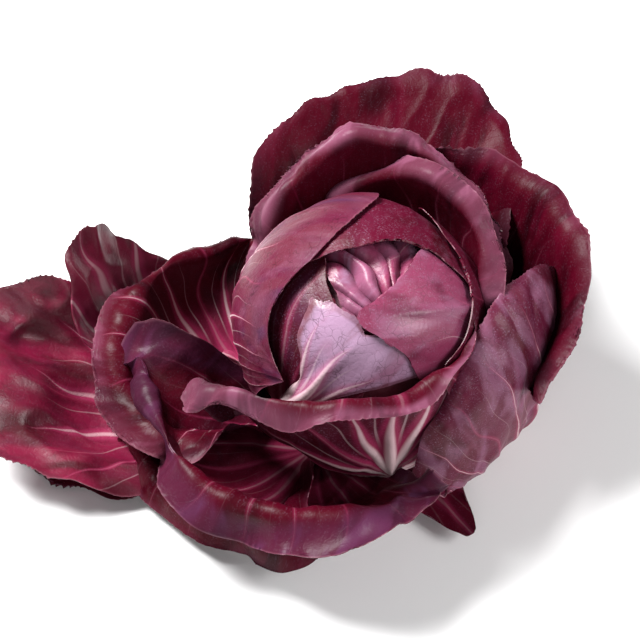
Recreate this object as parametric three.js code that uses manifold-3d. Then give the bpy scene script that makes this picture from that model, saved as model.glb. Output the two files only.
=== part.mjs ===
// A head of red chicory (radicchio): a tight ball of wrapped leaves on a short cut stem,
// with loose wrapper leaves cupped round it and spread beside it.
// Millimetres, +Z up. The origin is the centre of the stem's cut face, which the head stands on.
// Azimuth 0 is +X (right), 90 is +Y (back) and 270 is the front.
import * as THREE from 'three';
import { mergeVertices } from 'three/addons/utils/BufferGeometryUtils.js';
import Module from 'manifold-3d';

const wasm = await Module();
wasm.setup();

// Driving dimensions
const BALL_CENTRE_Z = 60;
const CORE_RADIUS = 44;
const CORE_SINK = 1.5; // how far the ball leaves' undersides lie inside the core
const BLADE_THICKNESS = 1.2;
const CLEARANCE = 0.3; // gap left where one piece rests on another
const SETTLING = 2; // how softly a leaf bends as it comes to lie on the surface
const STEM_RADIUS = 15;
const STEM_NECK_RADIUS = 12;
const STEM_HEIGHT = 19;
const CUT_EDGE = 1; // bevel round the cut face
const LIP_START = 0.25; // share of a leaf's length where its rolled lip begins, and where it is full
const LIP_FULL = 0.6;
const RUFFLE_START = 0.4; // share of the length by which the margin's waves reach their full height
const BILLOW_START = 0.3;
const RIB_STEPS = 120;
const STEM_SIDES = 28;
const BLADE_ROWS = 10;
const BLADE_COLUMNS = 12;
const BALL_ROWS = 9;
const BALL_COLUMNS = 10;

// Loose leaves, innermost first. An earlier leaf keeps its shape where two would touch.
// azimuth    direction the leaf grows in, degrees
// root       [radius, height] of the foot of its rib
// size       [length, width] of the blade laid flat
// widest     share of the length at which it is widest; waist shapes the taper to the foot, point the tip
// footWidth  half the width at the foot
// cwShare    width of the cw half beside that of the ccw half
// rise       slope of the rib from foot to tip, degrees: 0 outward, 90 upright, 180 inward
// swing      sideways turn of the rib from foot to tip, degrees
// cup        how far each half curls inward, foot to tip, degrees; cw and ccw are its two halves
// lip        [depth, angle, fold] of the margin that rolls outward, where fold is the share of the depth
//            in which it turns; lipShare is the share of the angle from the cw to the ccw edge
// ruffle     [height, count, phase] of the waves along the margin
// billow     [height, across, along, phase] of the blade's slow swells
const LOOSE_LEAVES = {
  back_inner_leaf: {
    azimuth: 48, root: [14, 18], size: [118, 125], widest: 0.51, rise: [1, 44, 85, 97, 103],
    swing: [2, -1, -2], cup: { ccw: [30, 55, 65, 60, 40], cw: [30, 55, 65, 64, 49] }, lip: [11, 110],
    ruffle: [1.5, 6, 1.3],
  },
  back_leaf: {
    azimuth: 78, root: [14, 14], size: [133, 132], widest: 0.49, rise: [-5, 31, 70, 91, 89, 87],
    swing: [1, 1, -4], cup: { ccw: [30, 58, 75, 60, 53], cw: [30, 50, 61, 44, 60] }, lip: [14, 120],
    ruffle: [1.5, 6, 0.3],
  },
  front_leaf: {
    azimuth: 282, root: [14, 14], size: [110, 185], widest: 0.74, rise: [-21, 20, 91, 86, 96],
    swing: [4, -1, 3, 8], cup: { ccw: [30, 70, 100, 90, 85], cw: [30, 65, 83, 69, 55] }, lip: [12, 120],
    lipShare: [1, 1, 1, 0.4, 0], ruffle: [1.5, 6, 2.3],
  },
  right_front_leaf: {
    azimuth: 343, root: [15, 9], size: [147, 150], widest: 0.4, point: 0.66,
    rise: [-22, 0, 78, 102, 151], swing: [14, -8, -16],
    cup: { ccw: [20, 35, 38, 38, 26], cw: [13, 49, 57, 53, 60] }, lip: [6, -20], ruffle: [1, 6, 2.3],
  },
  front_inner_leaf: {
    azimuth: 242, root: [14, 10], size: [106, 160], widest: 0.53, cwShare: 1.25, rise: [-2, 8, 21, 63, 75],
    swing: [-8, 0, 9], cup: { ccw: [30, 50, 68, 60, 20], cw: [30, 70, 70, 68, 79] }, lip: [20, 135, 0.4],
    lipShare: [1, 1, 1, 0.6, 0.2], ruffle: [3, 7, 2.2], billow: [2, 1.2, 3, 0.5],
  },
  left_inner_leaf: {
    azimuth: 165, root: [14, 9], size: [117, 160], widest: 0.51, rise: [-8, -1, 26, 63, 74],
    swing: [3, 3, -13], cup: { ccw: [30, 60, 66, 57, 38], cw: [30, 60, 66, 60, 45] }, lip: [14, 110],
    ruffle: [2.5, 7, 0.2], billow: [2, 1.2, 3, 0.5],
  },
  front_left_leaf: {
    azimuth: 213, root: [13, 6.5], size: [100, 165], widest: 0.67, waist: 1.56, point: 0.65,
    rise: [-10, -7, -3, 37, 48], swing: [-6, -1, 11],
    cup: { ccw: [30, 65, 71, 65, 19], cw: [30, 65, 72, 39, 32] }, lip: [16, 120], ruffle: [3, 7, 1],
    billow: [2, 1.2, 3, 0.5],
  },
  right_outer_leaf: {
    azimuth: 37, root: [14, 10], size: [132, 179], widest: 0.51, rise: [0, 11, 54, 83, 59],
    swing: [4, -4, 5], cup: { ccw: [20, 42, 46, 42, 76], cw: [18, 55, 65, 60, 50] }, lip: [12, 60],
    ruffle: [2.5, 5, 2], billow: [2, 1.2, 3, 0.5],
  },
  back_outer_leaf: {
    azimuth: 75, root: [13, 8], size: [151, 157], widest: 0.48, point: 0.66, cwShare: 0.75,
    rise: [-10, 21, 48, 48, 31, 37], swing: [12, -13, 0],
    cup: { ccw: [20, 49, 71, 45, 25], cw: [10, 25, 40, 42, 20] }, lip: [10, 40], ruffle: [3.5, 4, 0.9],
    billow: [3, 1.2, 3, 0.5],
  },
  left_back_leaf: {
    azimuth: 153, root: [14, 6], size: [154, 82], widest: 0.42, point: 0.9, rise: [-3, 5, 9, 64, 80],
    swing: [6, 9, -13], cup: { ccw: [10, 20, 30, 30, 5], cw: [10, 20, 32, 30, 18] }, lip: [6, 10],
    ruffle: [2, 5, 1],
  },
  left_leaf: {
    azimuth: 176, root: [14, 4], size: [175, 110], widest: 0.56, waist: 1.4, rise: [-4, -1, 5, 39, 18],
    swing: [2.5, 4, -7], cup: { ccw: [5, 7, 19, 9, 11], cw: [5, 10, 29, 60, 42] }, lip: [8, 10],
    ruffle: [4, 5, 1], billow: [4, 1.5, 3, 0.2],
  },
  low_left_leaf: {
    azimuth: 188, root: [13, 2.2], size: [138, 74], footWidth: 8, rise: [-2, -1, 0, 0], cup: [5],
    ruffle: [1, 5, 0],
  },
  front_tip_leaf: {
    azimuth: 303, root: [13, 3], size: [72, 36], footWidth: 8, widest: 0.25, point: 1, rise: [0, 3, 3, 0],
    cup: [10, 15, 20, 10], ruffle: [1.5, 3, 1],
  },
};

// Leaves wrapped on the ball, innermost first.
// foot and tip are places on the ball: [azimuth, degrees up from its bottom].
// lean is how far the ccw half reaches ahead, beside its distance from the rib.
const BALL_LEAVES = [
  { foot: [80, 40], tip: [100, 235], radius: 46, width: 130 },
  { foot: [246, 49], tip: [151, 151], radius: 47.5, width: 100, widest: 0.45, point: 1.15, waist: 1 },
  {
    foot: [233, 85], tip: [273, 136], radius: 49, width: 100, widest: 0.8, point: 0.4, waist: 4,
    cwShare: 0.52, lean: 0.8,
  },
  { foot: [12, 84], tip: [265, 142], radius: 50.5, width: 58, widest: 0.53, point: 2, waist: 1 },
  { foot: [44, 41], tip: [195, 150], radius: 52, width: 156, widest: 0.7, point: 1.15, waist: 1 },
  { foot: [174, 32], tip: [88, 163], radius: 53.5, width: 156, widest: 0.35, point: 0.73, waist: 0.6 },
  { foot: [-35, 34], tip: [49, 131], radius: 54, width: 134, widest: 0.36, point: 1.2, waist: 0.75 },
];

const DEFAULTS = {
  widest: 0.5, waist: 1.2, point: 0.5, footWidth: 9, swing: [0], lipShare: [1], cwShare: 1, lean: 0,
};

const radians = (degrees) => (degrees * Math.PI) / 180;
const clamp01 = (x) => Math.min(1, Math.max(0, x));

// Value at x (0 to 1) on a smooth curve through evenly spaced stations
function station(values, x) {
  const last = values.length - 1;
  if (last === 0) return values[0];
  const place = clamp01(x) * last;
  const i = Math.min(Math.floor(place), last - 1);
  const f = place - i;
  const [low, high] = [values[i], values[i + 1]];
  const inSlope = i > 0 ? (high - values[i - 1]) / 2 : high - low;
  const outSlope = i < last - 1 ? (values[i + 2] - low) / 2 : high - low;
  return (
    (2 * f ** 3 - 3 * f ** 2 + 1) * low + (f ** 3 - 2 * f ** 2 + f) * inSlope +
    (3 * f ** 2 - 2 * f ** 3) * high + (f ** 3 - f ** 2) * outSlope
  );
}

// Place on the blade laid flat. s runs from foot to tip, t from the cw edge (-1) to the ccw edge (1).
function onFlatBlade({ size: [length, width], widest, waist, point, footWidth, cwShare, lean }, s, t) {
  const diagonal = Math.SQRT1_2;
  const corner = widest + diagonal * (1 - widest);
  const edge = s * (1 - (1 - corner) * s ** 2);
  const bow = (Math.sqrt(1 - t ** 2 / 2) - diagonal) / (1 - diagonal);
  const along = length * (edge + (s - edge) * bow);
  const beyond = clamp01((edge - widest) / (1 - widest));
  const full = edge > widest
    ? (width / 2) * (1 - beyond ** 2) ** point
    : footWidth + (width / 2 - footWidth) * Math.sin((Math.PI / 2) * (edge / widest)) ** waist;
  const sideShare = t < 0 ? cwShare : 1;
  const half = full * sideShare;
  const side = (width / 2) * sideShare;
  const across = half * t;
  const past = along / length - widest;
  const upper = past > 0;
  const outward = upper ? past / (1 - widest) : 0;
  const toMargin = upper ? Math.hypot(across / side, outward) : Math.abs(t);
  const around = Math.atan2(across / side, upper ? outward : (0.8 * past) / widest);
  const fromMiddle = upper ? Math.hypot(across, past * length) : Math.abs(across);
  const marginWay = [across / side ** 2, upper ? outward / ((1 - widest) * length) : 0];
  const share = along / length;
  const leant = along + lean * Math.max(across, 0);
  return { across, along: leant, half, toMargin, around, fromMiddle, marginWay, share };
}

// Frames along the rib of a loose leaf: point, direction along, direction across
function ribFrames({ azimuth, root, size, rise, swing }) {
  const frames = [];
  const [radius, height] = root;
  const at = new THREE.Vector3(Math.cos(radians(azimuth)), Math.sin(radians(azimuth)), 0);
  at.multiplyScalar(radius).setZ(height);
  for (let i = 0; i <= RIB_STEPS; i += 1) {
    const slope = radians(station(rise, i / RIB_STEPS));
    const heading = radians(azimuth + station(swing, i / RIB_STEPS));
    const across = new THREE.Vector3(-Math.sin(heading), Math.cos(heading), 0);
    const along = new THREE.Vector3(across.y, -across.x, 0);
    along.multiplyScalar(Math.cos(slope)).setZ(Math.sin(slope));
    if (i > 0) {
      const mean = along.clone().add(frames[i - 1].along).multiplyScalar(0.5);
      at.addScaledVector(mean, size[0] / RIB_STEPS);
    }
    frames.push({ at: at.clone(), along, across });
  }
  return frames;
}

// A loose leaf bends along its rib, and each half curls in a circular arc across it.
function bendLoose(leaf, frames, flat, s, t) {
  const place = clamp01(flat.share) * (frames.length - 1);
  const i = Math.min(Math.floor(place), frames.length - 2);
  const f = place - i;
  const at = frames[i].at.clone().lerp(frames[i + 1].at, f);
  const along = frames[i].along.clone().lerp(frames[i + 1].along, f).normalize();
  const across = frames[i].across.clone().lerp(frames[i + 1].across, f).normalize();
  const inward = new THREE.Vector3().crossVectors(along, across);
  const curl = Array.isArray(leaf.cup) ? leaf.cup : t > 0 ? leaf.cup.ccw : leaf.cup.cw;
  const turn = radians(station(curl, s)) || 1e-5;
  const side = Math.sign(t);
  const angle = turn * Math.abs(t);
  const point = at
    .addScaledVector(across, ((flat.half / turn) * Math.sin(angle)) * side)
    .addScaledVector(inward, (flat.half / turn) * (1 - Math.cos(angle)));
  const [straight, turned] = [Math.cos(angle), Math.sin(angle) * side];
  const normal = inward.clone().multiplyScalar(straight).addScaledVector(across, -turned);
  const sideways = across.clone().multiplyScalar(straight).addScaledVector(inward, turned);
  return { point, normal, along, sideways };
}

// Unit vector at an azimuth and an angle up from straight down
function direction([azimuth, polar]) {
  const [a, p] = [radians(azimuth), radians(polar)];
  return new THREE.Vector3(Math.sin(p) * Math.cos(a), Math.sin(p) * Math.sin(a), -Math.cos(p));
}

// The ball is slightly lumpy and narrows to the stem.
function ballSwell({ x, y, z }) {
  return 1 + 0.012 * Math.sin(5 * x + 1) + 0.012 * Math.sin(4 * y + 6 * z) - 0.03 * clamp01(-z - 0.3);
}

// A ball leaf lies on a sphere, with its rib on the great circle from foot to tip.
function bendOnBall(leaf, flat) {
  const start = direction(leaf.foot);
  const pole = new THREE.Vector3().crossVectors(start, direction(leaf.tip)).normalize();
  const ahead = new THREE.Vector3().crossVectors(pole, start);
  const beta = flat.along / leaf.radius;
  const gamma = flat.across / leaf.radius;
  const ring = start.clone().multiplyScalar(Math.cos(beta)).addScaledVector(ahead, Math.sin(beta));
  const out = ring.multiplyScalar(Math.cos(gamma)).addScaledVector(pole, -Math.sin(gamma));
  const point = out.clone().multiplyScalar(leaf.radius * ballSwell(out));
  point.z += BALL_CENTRE_Z;
  return { point };
}

// The margin rolls outward. Each point of the lip turns about the line where the lip starts.
function rollLip(leaf, flat, bent, t) {
  const [depth, angle, fold = 1] = leaf.lip;
  const reach = flat.fromMiddle / Math.max(flat.toMargin, 1e-6);
  const d = Math.max(0, reach * (flat.toMargin - 1) + depth);
  const curved = Math.min(d, depth * fold);
  const rising = clamp01((flat.share - LIP_START) / (LIP_FULL - LIP_START));
  const share = rising ** 2 * (3 - 2 * rising) * station(leaf.lipShare, (t + 1) / 2);
  const k = (radians(angle) * share) / (depth * fold) || 1e-5;
  const [towardSide, towardTip] = flat.marginWay;
  const outward = bent.sideways.clone().multiplyScalar(towardSide).addScaledVector(bent.along, towardTip);
  outward.divideScalar(Math.hypot(towardSide, towardTip) + 1e-12);
  const [straight, turned] = [Math.cos(curved * k), Math.sin(curved * k)];
  bent.point.addScaledVector(outward, turned / k + (d - curved) * straight - d);
  bent.point.addScaledVector(bent.normal, -(1 - straight) / k - (d - curved) * turned);
  bent.normal.multiplyScalar(straight).addScaledVector(outward, turned);
}

// Two waves of unlike lengths run round the margin, so that no two ruffles are alike.
function ruffleMargin([height, count, phase], flat, bent) {
  const turn = count * flat.around;
  const beat = Math.sin(turn + phase) + 0.5 * Math.sin(1.73 * turn + 2.1 * phase + 1);
  const share = flat.toMargin ** 3 * clamp01(flat.share / RUFFLE_START);
  bent.point.addScaledVector(bent.normal, height * share * beat);
}

// Slow swells over the blade, away from its margin
function billowBlade([height, across, along, phase], flat, bent) {
  const swell = Math.sin((across * flat.across * Math.PI) / 60 + phase) *
    Math.sin(along * flat.share * Math.PI + 1.3 * phase);
  const share = (1 - flat.toMargin ** 4) * clamp01(flat.share / BILLOW_START);
  bent.point.addScaledVector(bent.normal, height * share * swell);
}

// Leaves come to lie on the surface rather than reach below it.
function aboveSurface(height) {
  const over = height - BLADE_THICKNESS / 2;
  return BLADE_THICKNESS / 2 + (over + Math.hypot(over, SETTLING)) / 2;
}

// Grid steps are closer together towards the margin.
const towardsMargin = (x) => 1.3 * x - 0.3 * x ** 3;

// Middle surface of a leaf as rows of points
function bladeGrid(leaf, rows, columns) {
  const frames = leaf.rise ? ribFrames(leaf) : null;
  const grid = [];
  for (let i = 0; i <= rows; i += 1) {
    const s = towardsMargin(i / rows);
    const row = [];
    for (let j = 0; j <= columns; j += 1) {
      const t = towardsMargin((2 * j) / columns - 1);
      const flat = onFlatBlade(leaf, s, t);
      const bent = frames ? bendLoose(leaf, frames, flat, s, t) : bendOnBall(leaf, flat);
      if (leaf.lip) rollLip(leaf, flat, bent, t);
      if (leaf.ruffle) ruffleMargin(leaf.ruffle, flat, bent);
      if (leaf.billow) billowBlade(leaf.billow, flat, bent);
      bent.point.z = aboveSurface(bent.point.z);
      row.push(bent.point);
    }
    grid.push(row);
  }
  return grid;
}

// Unit normals of a grid, on the leaf's inner side
function gridNormals(grid) {
  const [rows, columns] = [grid.length - 1, grid[0].length - 1];
  return grid.map((row, i) => row.map((_, j) => {
    const [before, after] = [grid[Math.max(i - 1, 0)][j], grid[Math.min(i + 1, rows)][j]];
    const [left, right] = [row[Math.max(j - 1, 0)], row[Math.min(j + 1, columns)]];
    const alongStep = new THREE.Vector3().subVectors(after, before);
    return alongStep.cross(new THREE.Vector3().subVectors(right, left)).normalize();
  }));
}

// Unit vectors from a ball leaf's points to the middle of the ball
function ballNormals(grid) {
  const middle = new THREE.Vector3(0, 0, BALL_CENTRE_Z);
  return grid.map((row) => row.map((point) => middle.clone().sub(point).normalize()));
}

// The grid with its edges moved outward, which clears the way round a neighbour's edge
function widened(grid, reach) {
  const [rows, columns] = [grid.length - 1, grid[0].length - 1];
  const inward = (index, last) => (index === 0 ? 1 : index === last ? last - 1 : index);
  return grid.map((row, i) => row.map((point, j) => {
    const fromRow = new THREE.Vector3().subVectors(point, grid[inward(i, rows)][j]).normalize();
    const fromColumn = new THREE.Vector3().subVectors(point, row[inward(j, columns)]).normalize();
    return point.clone().addScaledVector(fromRow, reach).addScaledVector(fromColumn, reach);
  }));
}

// Closed solid between the grid pushed inward and the grid pushed outward, split alike on both faces
function bladeSolid(grid, normals, inner, outer, reach) {
  const spread = widened(grid, reach);
  const [rows, columns] = [grid.length, grid[0].length];
  const vertices = [];
  for (const push of [inner, -outer]) {
    spread.forEach((row, i) => row.forEach((point, j) => {
      vertices.push(...point.clone().addScaledVector(normals[i][j], push).toArray());
    }));
  }
  const at = (i, j) => i * columns + j;
  const back = rows * columns;
  const triangles = [];
  for (let i = 0; i < rows - 1; i += 1) {
    for (let j = 0; j < columns - 1; j += 1) {
      const [a, b, c, d] = [at(i, j), at(i + 1, j), at(i + 1, j + 1), at(i, j + 1)];
      triangles.push(a, b, c, a, c, d);
      triangles.push(a + back, c + back, b + back, a + back, d + back, c + back);
    }
  }
  const rim = [];
  for (let j = 0; j < columns - 1; j += 1) rim.push(at(0, j));
  for (let i = 0; i < rows - 1; i += 1) rim.push(at(i, columns - 1));
  for (let j = columns - 1; j > 0; j -= 1) rim.push(at(rows - 1, j));
  for (let i = rows - 1; i > 0; i -= 1) rim.push(at(i, 0));
  rim.forEach((from, k) => {
    const to = rim[(k + 1) % rim.length];
    triangles.push(from, to, to + back, from, to + back, from + back);
  });
  return new wasm.Manifold(new wasm.Mesh({
    numProp: 3, vertProperties: new Float32Array(vertices), triVerts: new Uint32Array(triangles),
  }));
}

// A three.js geometry as a solid
function solidOf(geometry) {
  geometry.deleteAttribute('normal');
  geometry.deleteAttribute('uv');
  const merged = mergeVertices(geometry);
  return new wasm.Manifold(new wasm.Mesh({
    numProp: 3,
    vertProperties: new Float32Array(merged.attributes.position.array),
    triVerts: new Uint32Array(merged.index.array),
  }));
}

// A solid as a three.js geometry
function geometryOf(solid) {
  const mesh = solid.getMesh();
  const geometry = new THREE.BufferGeometry();
  geometry.setAttribute('position', new THREE.BufferAttribute(new Float32Array(mesh.vertProperties), 3));
  geometry.setIndex(new THREE.BufferAttribute(new Uint32Array(mesh.triVerts), 1));
  geometry.computeVertexNormals();
  return geometry;
}

// The largest body of a solid, without loose scraps
function largestBody(solid) {
  const bodies = solid.decompose();
  return bodies.reduce((best, body) => (body.volume() > best.volume() ? body : best));
}

// Short stem: a turned stub with a flat cut face below and a neck above
function stemSolid(grow) {
  const top = STEM_HEIGHT + grow;
  const profile = [
    [0, -grow], [STEM_RADIUS - CUT_EDGE + grow, -grow], [STEM_RADIUS + grow, CUT_EDGE],
    [STEM_RADIUS + grow, STEM_HEIGHT / 2], [STEM_NECK_RADIUS + grow, top], [0, top],
  ].map(([radius, height]) => new THREE.Vector2(radius, height));
  return solidOf(new THREE.LatheGeometry(profile, STEM_SIDES).rotateX(Math.PI / 2));
}

// Core of the ball, shaped as the leaves on it are
function coreSolid(grow) {
  const geometry = new THREE.SphereGeometry(1, 20, 14);
  const positions = geometry.attributes.position;
  const out = new THREE.Vector3();
  for (let i = 0; i < positions.count; i += 1) {
    out.fromBufferAttribute(positions, i);
    const radius = CORE_RADIUS * ballSwell(out) + grow;
    positions.setXYZ(i, out.x * radius, out.y * radius, out.z * radius + BALL_CENTRE_Z);
  }
  return solidOf(geometry);
}

// A ball leaf reaches down into the core, so that the two are one body.
function ballLeafSolid(place, grow) {
  const { foot, tip, radius, width } = place;
  const length = radius * direction(foot).angleTo(direction(tip));
  const leaf = { ...DEFAULTS, ...place, size: [length, width] };
  const depth = radius - CORE_RADIUS + CORE_SINK;
  const grid = bladeGrid(leaf, BALL_ROWS, BALL_COLUMNS);
  return bladeSolid(grid, ballNormals(grid), depth, grow, grow);
}

// The whole ball, grown on all sides where it clears the way for its neighbours
function ballSolid(grow) {
  return BALL_LEAVES.reduce((ball, leaf) => ball.add(ballLeafSolid(leaf, grow)), coreSolid(grow));
}

function looseLeafSolid(leaf, grow) {
  const half = BLADE_THICKNESS / 2 + grow;
  const grid = bladeGrid({ ...DEFAULTS, ...leaf }, BLADE_ROWS, BLADE_COLUMNS);
  return bladeSolid(grid, gridNormals(grid), half, half, grow);
}

const COLOURS = { stem: 0xd9c3b4, ball: 0x8a3458, leaf: 0x5a0f2c };

const head = new THREE.Group();

function addPiece(name, solid, color) {
  const finish = new THREE.MeshStandardMaterial({ color, roughness: 0.4, metalness: 0 });
  const mesh = new THREE.Mesh(geometryOf(solid), finish);
  mesh.name = name;
  head.add(mesh);
}

addPiece('stem', stemSolid(0), COLOURS.stem);
const taken = [stemSolid(CLEARANCE)];

const ball = largestBody(ballSolid(0).subtract(taken[0]));
addPiece('ball', ball, COLOURS.ball);
taken.push(ballSolid(CLEARANCE), ball);

// Each loose leaf is cut where it would pass into the stem, the ball or a leaf further in.
for (const [name, leaf] of Object.entries(LOOSE_LEAVES)) {
  const whole = looseLeafSolid(leaf, 0);
  const body = largestBody(taken.reduce((rest, neighbour) => rest.subtract(neighbour), whole));
  addPiece(name, body, COLOURS.leaf);
  taken.push(looseLeafSolid(leaf, CLEARANCE), body);
}

export default head;
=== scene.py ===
import math
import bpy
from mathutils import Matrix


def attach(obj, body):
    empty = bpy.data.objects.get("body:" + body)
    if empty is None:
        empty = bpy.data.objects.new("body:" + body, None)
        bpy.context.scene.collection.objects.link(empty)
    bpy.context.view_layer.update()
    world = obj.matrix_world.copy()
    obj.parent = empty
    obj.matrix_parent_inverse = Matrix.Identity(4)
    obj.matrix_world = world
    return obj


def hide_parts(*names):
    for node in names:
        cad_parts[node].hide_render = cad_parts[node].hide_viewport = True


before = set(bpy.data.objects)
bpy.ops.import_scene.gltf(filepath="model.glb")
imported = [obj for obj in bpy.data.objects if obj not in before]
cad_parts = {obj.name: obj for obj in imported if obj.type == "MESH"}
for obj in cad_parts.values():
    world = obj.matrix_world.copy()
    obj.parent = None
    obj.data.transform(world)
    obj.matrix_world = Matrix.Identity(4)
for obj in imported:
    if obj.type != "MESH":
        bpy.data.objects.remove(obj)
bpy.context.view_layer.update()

from types import SimpleNamespace

import bpy
import numpy as np
from bpy.props import FloatProperty, FloatVectorProperty, PointerProperty
from mathutils import Vector

bl_info = {
    "name": "Radicchio head",
    "version": (1, 0, 0),
    "blender": (4, 5, 0),
    "location": "3D View > Sidebar > Radicchio",
    "description": "A head of red chicory with its leaf finishes, floor, light and camera",
    "category": "Add Mesh",
}

# Driving sizes, in metres. +Z is up, azimuth 0 is right (+X), 90 is back and 270 is front.
BALL_CENTRE_Z = 0.060
CORE_RADIUS = 0.041
CORE_FOLDS = 0.001
STEM_RADIUS = 0.015
STEM_NECK_RADIUS = 0.012
STEM_HEIGHT = 0.019
STEM_BEVEL = 0.0009
CUT_RIM = 0.0012
CUT_RING = 0.005
CUT_HOLLOW = 0.0007
LYING_HEIGHT = 0.0006
SETTLING = 0.002
BAY_LENGTH = 0.03
TOOTH_LENGTH = 0.0031
VEIN_HALF_WIDTH = 0.0009
VEIN_WIDENING = 0.0008
MIDRIB_HALF_WIDTH = 0.0035
MIDRIB_TIP_HALF_WIDTH = 0.0008
SIDE_VEIN_GAP = 0.0062
FLOOR_SIZE = 8

# Where a leaf's relief starts, is full or ends, as shares of its length.
LIP_START = 0.25
LIP_FULL = 0.6
TEETH_FULL = 0.4
RUFFLE_FULL = 0.4
BILLOW_FULL = 0.3
CRUMPLE_FULL = 0.3
VEINS_END = 0.75

# How much of a loose leaf's fine relief a ball leaf has.
BALL_TEETH = 0.4
BALL_CRUMPLE = 0.35
BALL_QUILT = 0.25

# How finely meshes are made. A pleated leaf has smaller cells.
RIB_STEPS = 120
WEIGHT_STEPS = 63
FEWEST_CELLS = 16
PLEATED_CELL = 0.6
SMOOTH_ANGLE = math.radians(50)

# Each leaf draws its chance shapes from a seed of its own, counted up from these.
BALL_SEED = 100
LOOSE_SEED = 200

# In the leaf finishes: the angle between main veins, and how many patches to a metre.
VEIN_SPREAD = math.radians(17)
SLOW_PATCHES = 34.0
TINT_PATCHES = 52.0
BLOOM_AND_SHEEN_PATCHES = 80.0

# What the camera looks at, and each soft box's place, size and the studio setting for its power.
AIM = Vector((-0.017, 0.0, 0.062))
SOFTBOXES = {
    "overhead": ((-0.6, 0.3, 0.95), 0.45, "key"),
    "front": ((-0.2, -1.1, 0.7), 0.8, "front"),
    "right": ((0.9, -0.3, 0.7), 0.5, "side"),
}

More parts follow.
